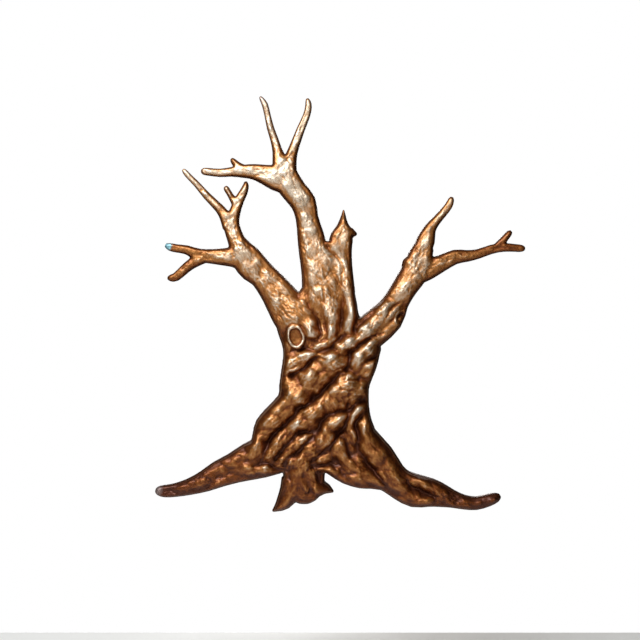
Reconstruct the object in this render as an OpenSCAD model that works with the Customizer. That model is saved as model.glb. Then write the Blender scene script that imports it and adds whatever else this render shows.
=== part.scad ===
// Tree-of-life wall relief: a hollow-backed bronze casting made in sections.
// The back of the tree lies on the wall plane y = 0 and its front faces -Y.
// The origin is the centre of the four trunk studs, on the wall plane.

/* [Casting] */
// Depth that a very wide limb would reach
full_depth = 54; // [46:1:64]
// Half-width at which a limb reaches two thirds of that depth
depth_scale = 28; // [24:1:34]
// Wall of the hollow sections
wall = 5; // [4:0.5:6]
// Thickness of the end flange where two sections bolt together
flange = 8; // [7:0.5:10]

/* [Wall studs] */
// Stud diameter
stud_d = 8; // [6:1:10]
// Length of stud that goes into the wall
stud_out = 50; // [30:5:80]
// Length of the stud's tapped end, held in its boss
stud_in = 22; // [16:1:24]
// Diameter of the tapped end
tapped_d = 7; // [5.5:0.5:7.5]
// Boss diameter
boss_d = 20; // [18:1:24]
// Trunk stud spacing, across
stud_dx = 100; // [80:5:110]
// Trunk stud spacing, up
stud_dz = 160; // [140:5:170]

/* [Fasteners] */
// Flange screw diameter
screw_d = 6; // [5:1:6]
// Flange screw grip and thread length
screw_l = 25; // [24:1:30]
// Dowel diameter at the twig joints
dowel_d = 6; // [4:1:6]
// Dowel length, half in each piece
dowel_l = 36; // [24:2:40]

/* [Smoothness] */
// Rings between two path points
steps = 2; // [1:1:3]
// Points round the front of a section
sides = 11; // [9:1:15]

/* [Hidden] */
bronze = [0.55, 0.34, 0.15];
steel = [0.72, 0.72, 0.74];
clearance = 0.2;

// A path is a list of [x, z, half_width] or [x, z, half_width, depth], from its root to its tip.
// Its joint is the number of the point at which one casting ends and the next begins.

// Limbs and roots: the part before the joint belongs to the trunk.
left_limb_path = [[-40, 100, 40], [-70, 146, 40], [-97, 186, 33], [-124, 219, 28], [-141, 234, 31],
    [-160, 257, 30], [-177, 289, 18], [-188, 322, 17], [-192, 344, 17]];
left_limb_joint = 2;
centre_limb_path = [[-4, 180, 43], [-13, 228, 35], [-23, 268, 30], [-29, 300, 27], [-36, 334, 23],
    [-43, 364, 26], [-60, 386, 26], [-74, 406, 27], [-82, 428, 24]];
centre_limb_joint = 3;
broken_limb_path = [[25, 190, 36], [30, 240, 25], [31, 270, 23], [32, 290, 24],
    [36, 308, 19.5], [36, 324, 10], [37, 340, 4.5], [37, 351, 1.5]];
broken_limb_joint = 3;
right_limb_path = [[50, 76, 34], [90, 106, 36], [125, 137, 34], [143, 168, 26], [161, 198, 26],
    [181, 228, 28], [190, 256, 25], [199, 278, 20]];
right_limb_joint = 2;
left_root_path = [[-60, -110, 52], [-110, -138, 44], [-150, -153, 38], [-182, -166, 31],
    [-212, -178, 27], [-240, -192, 22], [-270, -203, 17], [-300, -210, 14], [-322, -212, 12.5],
    [-334, -211, 9], [-339, -210, 4]];
left_root_joint = 2;
right_root_path = [[50, -110, 52], [102, -158, 46], [135, -186, 33], [154, -200, 32],
    [180, -211, 34], [212, -215, 29], [237, -222, 23], [256, -228, 18], [278, -234, 15],
    [302, -236, 14], [326, -230, 13], [343, -224, 10], [350, -220, 4]];
right_root_joint = 2;
tap_root_path = [[-42, -120, 44], [-42, -150, 42], [-42, -180, 42], [-42, -200, 40], [-42, -216, 36],
    [-42, -230, 24], [-42, -237, 10]];
tap_root_joint = 2;

// Twigs: the part before the joint belongs to the limb.
left_long_twig_path = [[-190, 318, 16], [-200, 338, 12], [-212, 354, 9.5], [-236, 378, 8],
    [-256, 401, 6.5], [-270, 415, 6], [-279, 425, 5.5], [-284, 431, 3.2]];
left_forked_twig_path = [[-187, 316, 16], [-183, 336, 13], [-177, 355, 11], [-170, 372, 10],
    [-162, 387, 8.5], [-158, 400, 6], [-159, 407, 3]];
left_outer_twig_path = [[-150, 246, 28], [-176, 255, 22], [-200, 256, 18], [-226, 257, 15],
    [-252, 260, 13], [-276, 270, 9.5], [-296, 273, 8.5], [-310, 276, 8], [-319, 280, 4]];
centre_side_path = [[-68, 406, 28], [-98, 414, 26], [-122, 421, 20], [-142, 426, 16],
    [-162, 427, 13.5], [-186, 426, 10], [-210, 424, 8.5], [-232, 426, 8], [-243, 427, 7],
    [-248, 427, 3]];
centre_left_twig_path = [[-82, 424, 24], [-90, 448, 16], [-95, 468, 10.5], [-101, 490, 8.5],
    [-109, 514, 7.5], [-115, 540, 6.5], [-120, 560, 6.5], [-127, 572, 4.5], [-130, 577, 2]];
centre_right_twig_path = [[-78, 424, 24], [-71, 446, 15], [-65, 466, 11], [-57, 488, 9.5],
    [-48, 512, 8.5], [-37, 538, 7.5], [-33, 556, 7], [-34, 567, 5.5], [-36, 573, 2.5]];
right_upper_twig_path = [[184, 240, 24], [193, 266, 19.5], [202, 290, 18.5], [210, 312, 12.5],
    [222, 328, 9.5], [236, 344, 8.5], [247, 358, 8], [252, 370, 6.5], [254, 376, 3]];
right_outer_twig_path = [[174, 222, 26], [206, 232, 22], [234, 244, 17], [260, 256, 15],
    [284, 258, 12], [306, 262, 10], [332, 271, 9.5], [356, 275, 9], [380, 274, 8],
    [394, 273, 7], [400, 272, 3]];
twig_joint = 2;
left_outer_joint = 3;
right_outer_joint = 3;

// Side shoots that stay whole within their twig.
forked_shoot = [[-177, 360, 9], [-184, 371, 7], [-190, 381, 6], [-195, 389, 6], [-198, 394, 5.5], [-200, 397, 3]];
outer_shoot = [[-240, 257, 13], [-266, 243, 11], [-282, 230, 10], [-298, 216, 9], [-309, 214, 7],
    [-315, 214, 3]];
side_shoot = [[-156, 426, 12], [-168, 434, 9], [-176, 440, 7.5], [-182, 446, 6.5], [-185, 450, 5], [-187, 453, 3]];
tip_shoot = [[340, 273, 8], [352, 284, 8], [362, 296, 7], [369, 304, 6], [373, 307, 3]];
broken_knob = [[38, 305, 14, 26], [50, 304, 11.5, 22], [57, 302.5, 8, 16], [64, 301.5, 2, 8]];
right_nub = [[178, 238, 27, 32], [165, 241, 20, 28], [158, 243, 13, 20], [154, 244, 6, 12]];
tap_left_point = [[-62, -190, 26], [-70, -214, 22, 28], [-84, -236, 16, 20], [-99, -248, 6, 12],
    [-105, -252, 2, 8]];
tap_right_point = [[-30, -204, 20], [-14, -205, 19, 24], [0, -206, 13, 18], [10, -210, 7, 14],
    [17, -213, 2, 10]];

// The body of the trunk, from the crown down to the roots, in level slices.
trunk_body = [[5, 287, 5, 26], [5, 276, 30, 34], [2, 250, 46, 38], [6, 196, 52, 42], [-6, 160, 71, 44],
    [-14, 142, 82, 44], [-8, 112, 89, 45], [12, 82, 99, 45], [13, 60, 97, 45], [7, 30, 95, 45],
    [-1, 0, 91, 45], [-3, -20, 91, 45], [-14, -45, 103, 45], [-22, -70, 116, 45],
    [-20, -100, 126, 44], [-16, -130, 134, 42], [-14, -160, 126, 38]];

// Twisted strands on the trunk, from upper right to lower left.
strands = [
    [[106, 134, 16, 45], [78, 108, 15, 52], [46, 84, 15, 56], [14, 58, 18, 57], [-20, 26, 19, 57],
        [-50, -6, 20, 57], [-78, -40, 18, 55], [-106, -72, 17, 51], [-128, -104, 15, 47],
        [-140, -128, 12, 42]],
    [[82, 74, 18, 52], [70, 48, 20, 56], [42, 6, 24, 58], [12, -22, 24, 58], [-22, -50, 20, 57],
        [-52, -78, 18, 55], [-84, -100, 16, 51], [-114, -124, 14, 46], [-136, -142, 12, 42]],
    [[58, -54, 14, 54], [32, -70, 19, 57], [2, -88, 19, 57], [-30, -110, 17, 54], [-62, -132, 15, 51],
        [-98, -148, 14, 46], [-130, -158, 13, 42]],
    [[46, 120, 9, 47], [18, 92, 12, 51], [-8, 72, 12, 53], [-36, 56, 12, 53], [-60, 44, 12, 50],
        [-74, 36, 9, 45]],
    [[72, -38, 12, 50], [64, -62, 12, 54], [56, -88, 12, 52], [46, -112, 9, 47]],
    [[72, -52, 12, 46], [80, -92, 18, 50], [96, -128, 20, 51], [114, -158, 20, 48], [122, -170, 18, 44]],
    [[34, -112, 14, 48], [30, -140, 19, 51], [50, -166, 19, 48], [80, -182, 17, 45], [104, -184, 15, 41]],
    [[-10, -156, 10, 44], [14, -170, 11, 45], [40, -186, 11, 44], [70, -194, 12, 42], [92, -196, 11, 38],
        [110, -200, 9.5, 34]],
    [[-4, -130, 16, 51], [-24, -144, 18, 49], [-38, -156, 20, 45]]
];
// Ridges that run down from the crown.
ridges = [
    [[-86, 172, 22, 41], [-70, 148, 20, 48], [-48, 124, 17, 52], [-30, 102, 12, 50]],
    [[-22, 256, 20, 38], [-13, 216, 21, 45], [0, 172, 20, 49], [12, 132, 14, 51], [12, 98, 9, 50]],
    [[30, 256, 16, 34], [39, 220, 15, 42], [46, 178, 14, 47], [50, 142, 13, 50], [46, 112, 10, 50]],
    [[92, 54, 11, 42], [86, 30, 12, 46], [72, 4, 12, 48], [70, -20, 12, 48]],
    [[-74, 88, 10, 42], [-66, 60, 12, 47], [-72, 20, 12, 47], [-76, -8, 12, 46]]
];

// Oval scar of a lost branch on the trunk: centre, half-width and raised height
knot_at = [-58, 100];
knot_r = 15;
knot_depth = 53;
// Hollow where a shoot broke out of the right limb
hole_at = [149, 139];

// Share of the half-width and of the depth at which a flange screw sits
screw_share = 0.44;
screw_level = 0.42;
limb_joints = [[left_limb_path, left_limb_joint], [centre_limb_path, centre_limb_joint],
    [broken_limb_path, broken_limb_joint], [right_limb_path, right_limb_joint],
    [left_root_path, left_root_joint], [right_root_path, right_root_joint],
    [tap_root_path, tap_root_joint]];
twig_joints = [[left_long_twig_path, twig_joint], [left_forked_twig_path, twig_joint],
    [left_outer_twig_path, left_outer_joint], [centre_side_path, twig_joint],
    [centre_left_twig_path, twig_joint], [centre_right_twig_path, twig_joint],
    [right_upper_twig_path, twig_joint], [right_outer_twig_path, right_outer_joint]];

trunk_studs = [for (sx = [-1, 1]) for (sz = [-1, 1]) [sx * stud_dx / 2, sz * stud_dz / 2]];
limb_stud_z = 214;
root_stud_z = -196;
left_limb_stud = [-120, limb_stud_z];
right_limb_stud = [170, limb_stud_z];
left_root_stud = [-230, root_stud_z];
right_root_stud = [190, root_stud_z];
all_studs = concat(trunk_studs, [left_limb_stud, right_limb_stud, left_root_stud, right_root_stud]);

function depth_of(w) = full_depth * (1 - exp(-w / depth_scale));
function with_depth(path) = [for (p = path) len(p) > 3 ? p : [p[0], p[1], p[2], depth_of(p[2])]];
function spline(a, b, c, d, t) = 0.5 * (2 * b + (c - a) * t + (2 * a - 5 * b + 4 * c - d) * t * t
    + (3 * b - a - 3 * c + d) * t * t * t);
function smooth(p, n) = [for (i = [0 : len(p) - 2]) for (k = [0 : n - 1])
    spline(p[max(i - 1, 0)], p[i], p[i + 1], p[min(i + 2, len(p) - 1)], k / n), p[len(p) - 1]];
function unit(v) = v / norm(v);
function along(q, i) = let (a = q[max(i - 1, 0)], b = q[min(i + 1, len(q) - 1)])
    unit([b[0] - a[0], b[1] - a[1]]);
// Direction of a path at one of its own points
function heading(path, i) = along(smooth(path, steps), i * steps);

// Relief sweep with a flat back and steep round sides, between two points of its path.
// A hollow is the same sweep one wall smaller, open past the back, and stopped short of its ends.
module relief(path, first = 0, last = -1, inset = 0, short = 0, level = false) {
    q = smooth(with_depth(path), steps);
    i0 = first * steps;
    i1 = last < 0 ? len(q) - 1 : last * steps;
    back = inset > 0 ? 1 : 0;
    m = sides + (inset > 0 ? 2 : 0);
    points = [for (i = [i0 : i1])
        let (t = level ? [0, -1] : along(q, i), move = i == i0 ? short : i == i1 ? -short : 0,
            x = q[i][0] + t[0] * move, z = q[i][1] + t[1] * move,
            w = max(q[i][2] - inset, 0.5), d = max(q[i][3] - inset, 0.5))
        each [for (k = [0 : m - 1])
            let (a = k < sides ? 180 * k / (sides - 1) : k == sides ? 180 : 0, c = cos(a),
                u = w * sign(c) * pow(abs(c), 0.8),
                y = k < sides ? -d * pow(abs(sin(a)), 0.8) : back)
            [x + t[1] * u, y, z - t[0] * u]]];
    rings = i1 - i0;
    faces = concat(
        [for (r = [0 : rings - 1]) for (k = [0 : m - 1])
            [r * m + k, (r + 1) * m + (k + 1) % m, (r + 1) * m + k]],
        [for (r = [0 : rings - 1]) for (k = [0 : m - 1])
            [r * m + k, r * m + (k + 1) % m, (r + 1) * m + (k + 1) % m]],
        [[for (k = [m - 1 : -1 : 0]) k]],
        [[for (k = [0 : m - 1]) rings * m + k]]);
    polyhedron(points, faces);
}

// Puts its children on a joint, with +Z along the limb, +X across it and y kept.
module at_joint(joint) {
    p = joint[0][joint[1]];
    t = heading(joint[0], joint[1]);
    translate([p[0], 0, p[1]]) rotate([0, atan2(t[0], t[1]), 0]) children();
}

// Runs its children at each of the two screws of a flange joint.
module at_screws(joint) {
    w = joint[0][joint[1]][2];
    at_joint(joint) for (s = [-1, 1])
        translate([s * w * screw_share, -depth_of(w) * screw_level, 0]) children();
}

module screw_holes(joint) {
    at_screws(joint) cylinder(h = 4 * flange, d = screw_d + 2 * clearance, center = true, $fn = 24);
}

module dowel_hole(joint) {
    at_joint(joint) translate([0, dowel_y(joint), 0])
        cylinder(h = dowel_l + 2, d = dowel_d + 0.4, center = true, $fn = 24);
}

function dowel_y(joint) = -depth_of(joint[0][joint[1]][2]) * 0.48;

// Boss for a wall stud; its reach takes it into the front wall of the casting.
module boss(at, reach) {
    translate([at[0], 0, at[1]]) rotate([90, 0, 0]) cylinder(h = reach, d = boss_d, $fn = 32);
}

module boss_bore(at) {
    translate([at[0], 1, at[1]]) rotate([90, 0, 0])
        cylinder(h = stud_in + 2, d = tapped_d + 2 * clearance, $fn = 32);
}

// Oval ring of the branch scar, with a sunk face inside it.
module knot() {
    translate([knot_at[0], -30, knot_at[1]]) scale([1, 1, 1.4]) rotate([90, 0, 0]) difference() {
        cylinder(h = knot_depth - 30, r1 = knot_r + 4, r2 = knot_r, $fn = 24);
        translate([0, 0, knot_depth - 33]) cylinder(h = 4, r1 = knot_r - 4, r2 = knot_r - 3, $fn = 24);
    }
}

module trunk() {
    color(bronze) difference() {
        union() {
            difference() {
                union() {
                    relief(trunk_body, level = true);
                    for (j = limb_joints) relief(j[0], 0, j[1]);
                    for (s = strands) relief(s);
                    for (s = ridges) relief(s);
                }
                relief(trunk_body, 1, inset = wall, short = flange, level = true);
                for (j = limb_joints) relief(j[0], 0, j[1], wall, flange);
                for (k = [0 : 2]) relief(strands[k], 1, len(strands[k]) - 3, wall + 1, flange);
            }
            for (at = trunk_studs) boss(at, 45);
            knot();
        }
        for (at = trunk_studs) boss_bore(at);
        for (j = limb_joints) screw_holes(j);
    }
}

module left_limb() {
    color(bronze) difference() {
        union() {
            difference() {
                union() {
                    relief(left_limb_path, left_limb_joint);
                    relief(left_outer_twig_path, 0, left_outer_joint);
                    relief(left_long_twig_path, 0, twig_joint);
                    relief(left_forked_twig_path, 0, twig_joint);
                }
                relief(left_limb_path, left_limb_joint, 6, wall, flange);
            }
            boss(left_limb_stud, 31);
        }
        boss_bore(left_limb_stud);
        screw_holes([left_limb_path, left_limb_joint]);
        for (k = [0 : 2]) dowel_hole(twig_joints[k]);
    }
}

module centre_limb() {
    color(bronze) difference() {
        union() {
            relief(centre_limb_path, centre_limb_joint);
            relief(centre_side_path, 0, twig_joint);
            relief(centre_left_twig_path, 0, twig_joint);
            relief(centre_right_twig_path, 0, twig_joint);
        }
        relief(centre_limb_path, centre_limb_joint, 7, wall, flange);
        screw_holes([centre_limb_path, centre_limb_joint]);
        for (k = [3 : 5]) dowel_hole(twig_joints[k]);
    }
}

module broken_limb() {
    color(bronze) difference() {
        union() {
            relief(broken_limb_path, broken_limb_joint);
            relief(broken_knob);
        }
        relief(broken_limb_path, broken_limb_joint, 5, wall, flange);
        screw_holes([broken_limb_path, broken_limb_joint]);
    }
}

module right_limb() {
    color(bronze) difference() {
        union() {
            difference() {
                union() {
                    relief(right_limb_path, right_limb_joint);
                    relief(right_upper_twig_path, 0, twig_joint);
                    relief(right_outer_twig_path, 0, right_outer_joint);
                    relief(right_nub);
                }
                relief(right_limb_path, right_limb_joint, 6, wall, flange);
            }
            boss(right_limb_stud, 30);
        }
        boss_bore(right_limb_stud);
        translate([hole_at[0], -30.5, hole_at[1]]) rotate([90, 0, 0])
            cylinder(h = 14, r1 = 3, r2 = 11, $fn = 16);
        screw_holes([right_limb_path, right_limb_joint]);
        for (k = [6 : 7]) dowel_hole(twig_joints[k]);
    }
}

// A hollow root with one wall stud.
module root(path, joint, hollow_end, stud, reach) {
    color(bronze) difference() {
        union() {
            difference() {
                relief(path, joint);
                relief(path, joint, hollow_end, wall, flange);
            }
            boss(stud, reach);
        }
        boss_bore(stud);
        screw_holes([path, joint]);
    }
}

module left_root() {
    root(left_root_path, left_root_joint, 6, left_root_stud, 28);
}

module right_root() {
    root(right_root_path, right_root_joint, 7, right_root_stud, 31);
}

module tap_root() {
    color(bronze) difference() {
        union() {
            relief(tap_root_path, tap_root_joint);
            relief(tap_left_point);
            relief(tap_right_point);
        }
        relief(tap_root_path, tap_root_joint, 4, wall, flange);
        screw_holes([tap_root_path, tap_root_joint]);
    }
}

// A solid twig past its joint, with the shoots that belong to it.
module twig(joint, shoots = []) {
    color(bronze) difference() {
        union() {
            relief(joint[0], joint[1]);
            for (s = shoots) relief(s);
        }
        dowel_hole(joint);
    }
}

module left_long_twig() twig(twig_joints[0]);
module left_forked_twig() twig(twig_joints[1], [forked_shoot]);
module left_outer_twig() twig(twig_joints[2], [outer_shoot]);
module centre_side_branch() twig(twig_joints[3], [side_shoot]);
module centre_left_twig() twig(twig_joints[4]);
module centre_right_twig() twig(twig_joints[5]);
module right_upper_twig() twig(twig_joints[6]);
module right_outer_twig() twig(twig_joints[7], [tip_shoot]);

module twig_dowels() {
    color(steel) for (j = twig_joints) at_joint(j) translate([0, dowel_y(j), 0])
        cylinder(h = dowel_l, d = dowel_d, center = true);
}

module wall_studs() {
    color(steel) for (at = all_studs) translate([at[0], 0, at[1]]) {
        rotate([-90, 0, 0]) cylinder(h = stud_out, d = stud_d);
        rotate([90, 0, 0]) cylinder(h = stud_in, d = tapped_d);
    }
}

module flange_screws() {
    head_h = 4;
    color(steel) for (j = limb_joints) at_screws(j) {
        translate([0, 0, flange + 1.5 - screw_l]) cylinder(h = screw_l, d = screw_d);
        translate([0, 0, flange + 1.5]) cylinder(h = head_h, d = 2 * screw_d / cos(30) * 0.83, $fn = 6);
    }
}

module flange_washers() {
    color(steel) for (j = limb_joints) at_screws(j) for (z = [flange, -flange - 1.5])
        translate([0, 0, z]) difference() {
            cylinder(h = 1.5, d = 2 * screw_d);
            translate([0, 0, -1]) cylinder(h = 4, d = screw_d + 0.4);
        }
}

module flange_nuts() {
    nut_h = 5;
    color(steel) for (j = limb_joints) at_screws(j) translate([0, 0, -flange - 1.5 - nut_h]) difference() {
        cylinder(h = nut_h, d = 2 * screw_d / cos(30) * 0.83, $fn = 6);
        translate([0, 0, -1]) cylinder(h = nut_h + 2, d = screw_d + 0.1);
    }
}

trunk();
left_limb();
centre_limb();
broken_limb();
right_limb();
left_root();
tap_root();
right_root();
left_long_twig();
left_forked_twig();
left_outer_twig();
centre_side_branch();
centre_left_twig();
centre_right_twig();
right_upper_twig();
right_outer_twig();
twig_dowels();
flange_screws();
flange_washers();
flange_nuts();
wall_studs();
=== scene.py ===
import math

import bmesh
import bpy
import numpy as np
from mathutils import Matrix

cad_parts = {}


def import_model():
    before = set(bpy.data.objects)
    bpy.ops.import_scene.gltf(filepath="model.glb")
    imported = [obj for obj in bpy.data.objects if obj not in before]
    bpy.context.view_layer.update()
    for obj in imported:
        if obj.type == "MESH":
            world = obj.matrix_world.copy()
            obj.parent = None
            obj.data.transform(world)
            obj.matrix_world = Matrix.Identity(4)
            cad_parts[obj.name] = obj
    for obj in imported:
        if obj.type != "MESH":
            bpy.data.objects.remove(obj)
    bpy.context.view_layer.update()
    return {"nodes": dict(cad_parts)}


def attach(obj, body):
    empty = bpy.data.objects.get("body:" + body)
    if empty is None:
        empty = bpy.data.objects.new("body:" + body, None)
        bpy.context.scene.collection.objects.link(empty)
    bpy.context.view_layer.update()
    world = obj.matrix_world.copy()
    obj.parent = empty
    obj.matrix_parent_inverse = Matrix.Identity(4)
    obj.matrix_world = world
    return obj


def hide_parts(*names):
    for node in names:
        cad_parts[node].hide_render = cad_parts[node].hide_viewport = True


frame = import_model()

import openvdb

MM = 0.001
CELL = 1.0  # cell of the height maps, mm
MARGIN = 10  # cells of air round the tree
VOXEL = 1.35  # size of the surface mesh, mm
HARDWARE = ("twig_dowels", "flange_screws", "flange_washers", "flange_nuts", "wall_studs")
CASTINGS = sorted(set(frame["nodes"]) - set(HARDWARE))

LUMPS = (0.9, 0.15)  # soft unevenness of the clay, coarse and fine, mm
DABS = (1.0, 0.25, 0.18, 0.22)  # tool marks from large to fine, mm
RISE = 1.45  # height of the ropes against their listed height
WRINKLE = 0.55  # depth of the thin wrinkles, mm
DIG = 1.25  # depth of the creases against their listed depth
LUMP_LENGTH = 46.0  # spacing of the swellings along a rope, mm
SCAR = (-58, 97)  # middle of the branch scar: x, z, mm
SCAR_RADII = (15.5, 21)  # half its width and height, mm
EYE = (151, 134)  # middle of the eye in the right limb: x, z, mm
EYE_RADII = (6.5, 9)  # half its width and height, mm
SCREW_RADIUS = 3.0  # outer radius of the flange screws' thread, mm
SCREW_PITCH = 1.0  # pitch of the flange screws, mm
STUD_PITCH = 1.25  # pitch of the wall studs, mm
HEAD_SIDES = 48  # segments round a head, nut, washer or dowel
THREAD_SIDES = 24  # segments round a thread
GREY_TIPS = ((-0.338, -0.208), (-0.130, 0.574))  # tips with a worn grey bloom: x, z, m
GREEN_TIP = (-0.317, 0.279)  # tip with verdigris: x, z, m
FLATNESS = 0.5  # 1 keeps the CAD's arched section, less makes it flatter
WORLD = (0.10, 0.006)  # brightness of the room in front and behind
FLOOR = -0.55  # height of the floor, m
CAMERA_PLACE = (-0.010, -4.0, 0.130)  # m, level and square to the front
CAMERA_LENS = 112.5  # mm
CAMERA_SENSOR = 36  # mm

# Ridges modelled on the tree, in mm in the part's frame: x, z, half-width, height.
RIDGES = {
    # ropes of the trunk, from upper right to lower left
    "limb_rope": [(176, 214, 24, 6), (160, 194, 24, 9), (140, 166, 21, 5), (118, 142, 21, 11),
        (98, 124, 18, 6), (80, 107, 18, 12), (62, 96, 15, 7), (50, 85, 15, 11), (36, 77, 13, 9),
        (24, 71, 9, 5)],
    "limb_rope_low": [(150, 122, 12, 5), (132, 112, 14, 7), (114, 104, 12, 7), (98, 96, 9, 5)],
    "main_rope": [(34, 50, 22, 8), (14, 46, 25, 13), (-6, 28, 22, 5), (-24, 12, 25, 13), (-44, -6, 22, 5),
        (-62, -24, 27, 13), (-84, -44, 24, 5), (-106, -66, 28, 12), (-124, -82, 20, 5)],
    "thin_rope_top": [(20, 92, 6, 4), (8, 84, 8, 7), (-4, 77, 9, 8), (-16, 71, 8, 6)],
    "thin_rope": [(-8, 62, 6, 4), (-22, 58, 8, 7), (-42, 54, 10, 8), (-62, 47, 10, 8), (-80, 42, 9, 6)],
    "thin_rope_low": [(-44, 40, 7, 4), (-58, 34, 9, 7), (-72, 32, 9, 7), (-84, 28, 8, 4)],
    "big_lump": [(60, -2, 22, 7), (36, -6, 30, 13), (20, -26, 26, 8), (22, -40, 18, 9)],
    "big_rope": [(-6, -36, 18, 8), (-24, -50, 24, 13), (-40, -64, 20, 6), (-54, -76, 20, 12),
        (-70, -90, 15, 5), (-82, -102, 14, 8), (-92, -118, 15, 9), (-108, -134, 12, 6)],
    "right_lump": [(100, 84, 12, 7), (84, 72, 18, 12), (68, 58, 18, 12), (60, 46, 12, 6)],
    "right_lump_low": [(104, 52, 10, 5), (90, 36, 13, 8), (74, 28, 12, 7)],
    "low_rope": [(36, -60, 12, 8), (18, -70, 18, 12), (6, -82, 18, 7), (2, -96, 19, 10), (-2, -112, 20, 11),
        (-18, -122, 17, 6), (-36, -134, 14, 8), (-58, -146, 10, 5)],
    "low_strand_a": [(-42, -104, 12, 6), (-56, -114, 15, 9), (-68, -128, 12, 6), (-82, -140, 10, 5)],
    "left_strand": [(-112, -96, 10, 5), (-134, -104, 14, 7), (-142, -118, 17, 9), (-144, -132, 14, 5)],
    "side_strand": [(76, -38, 8, 4), (68, -52, 11, 9), (60, -64, 11, 8), (52, -80, 8, 4)],
    "side_fold": [(48, -86, 6, 4), (54, -100, 6, 5), (58, -112, 5, 3)],
    "root_rope": [(80, -64, 8, 4), (82, -84, 13, 9), (85, -104, 17, 12), (94, -122, 21, 7),
        (104, -138, 22, 12), (118, -156, 21, 6), (132, -174, 20, 12), (150, -194, 17, 8)],
    "wedge": [(24, -112, 9, 6), (30, -130, 18, 10), (44, -148, 18, 8), (60, -160, 14, 6)],
    "wedge_left": [(14, -138, 13, 5), (-4, -146, 12, 5)],
    "wedge_foot": [(40, -172, 12, 5), (64, -176, 15, 8), (92, -184, 15, 7), (112, -194, 12, 5)],
    "lower_rim": [(-22, -172, 5, 3), (-6, -169, 7, 6), (12, -170, 7, 6), (28, -179, 8, 5),
        (50, -194, 9, 4)],
    "fan_neck": [(-34, -146, 13, 7), (-50, -158, 18, 9), (-54, -174, 20, 7), (-50, -198, 16, 5)],
    # crown: the butts of the limbs
    "left_butt": [(-120, 200, 25, 3), (-96, 178, 27, 4), (-68, 152, 28, 5), (-46, 132, 20, 8),
        (-30, 114, 15, 10), (-26, 98, 11, 8)],
    "left_butt_toe": [(-52, 124, 10, 5), (-42, 104, 8, 5)],
    "centre_butt": [(-26, 276, 25, 2), (-17, 230, 28, 4), (-4, 190, 28, 5), (8, 160, 20, 7),
        (13, 132, 14, 10), (12, 110, 12, 11), (8, 96, 8, 6)],
    "broken_butt": [(32, 270, 18, 2), (40, 226, 17, 4), (48, 190, 15, 5), (54, 158, 12, 8),
        (50, 130, 13, 11), (45, 114, 10, 8)],
    "broken_butt_side": [(64, 166, 6, 4), (66, 144, 8, 5), (66, 124, 7, 4)],
    # roots
    "left_root_crest": [(-112, -170, 9, 5), (-140, -165, 14, 8), (-172, -158, 16, 8), (-202, -156, 15, 6),
        (-232, -176, 13, 4)],
    "left_root_end": [(-228, -184, 10, 3), (-252, -192, 11, 5), (-284, -200, 10, 4), (-316, -208, 8, 2)],
    "left_root_top": [(-150, -140, 12, 6), (-176, -146, 12, 7), (-200, -156, 12, 6)],
    "right_root_top": [(152, -176, 10, 4), (176, -188, 12, 7), (204, -202, 12, 7), (232, -218, 12, 7),
        (256, -232, 11, 5)],
    "right_root_low": [(158, -222, 14, 5), (184, -232, 13, 7), (206, -227, 11, 6), (222, -219, 7, 4)],
    "right_root_end": [(262, -236, 9, 3), (290, -237, 10, 5), (318, -232, 9, 5), (340, -224, 7, 3)],
    "fan_left": [(-64, -186, 10, 5), (-74, -212, 11, 6), (-86, -236, 9, 5), (-98, -248, 5, 2)],
    "fan_right": [(-30, -176, 10, 5), (-20, -196, 11, 5), (-2, -211, 8, 4)],
    # limb crests
    "eye_lip": [(154, 157, 6, 4), (143, 149, 8, 8), (133, 139, 9, 8), (130, 128, 7, 4)],
    "left_crest": [(-120, 200, 25, 4), (-142, 226, 22, 4), (-162, 262, 20, 4), (-178, 296, 14, 3)],
    "centre_crest": [(-26, 276, 24, 3), (-30, 304, 20, 4), (-40, 350, 18, 4), (-62, 392, 20, 4)],
    "right_crest": [(176, 214, 22, 5), (186, 246, 20, 4), (200, 282, 12, 3)],
}
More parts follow.
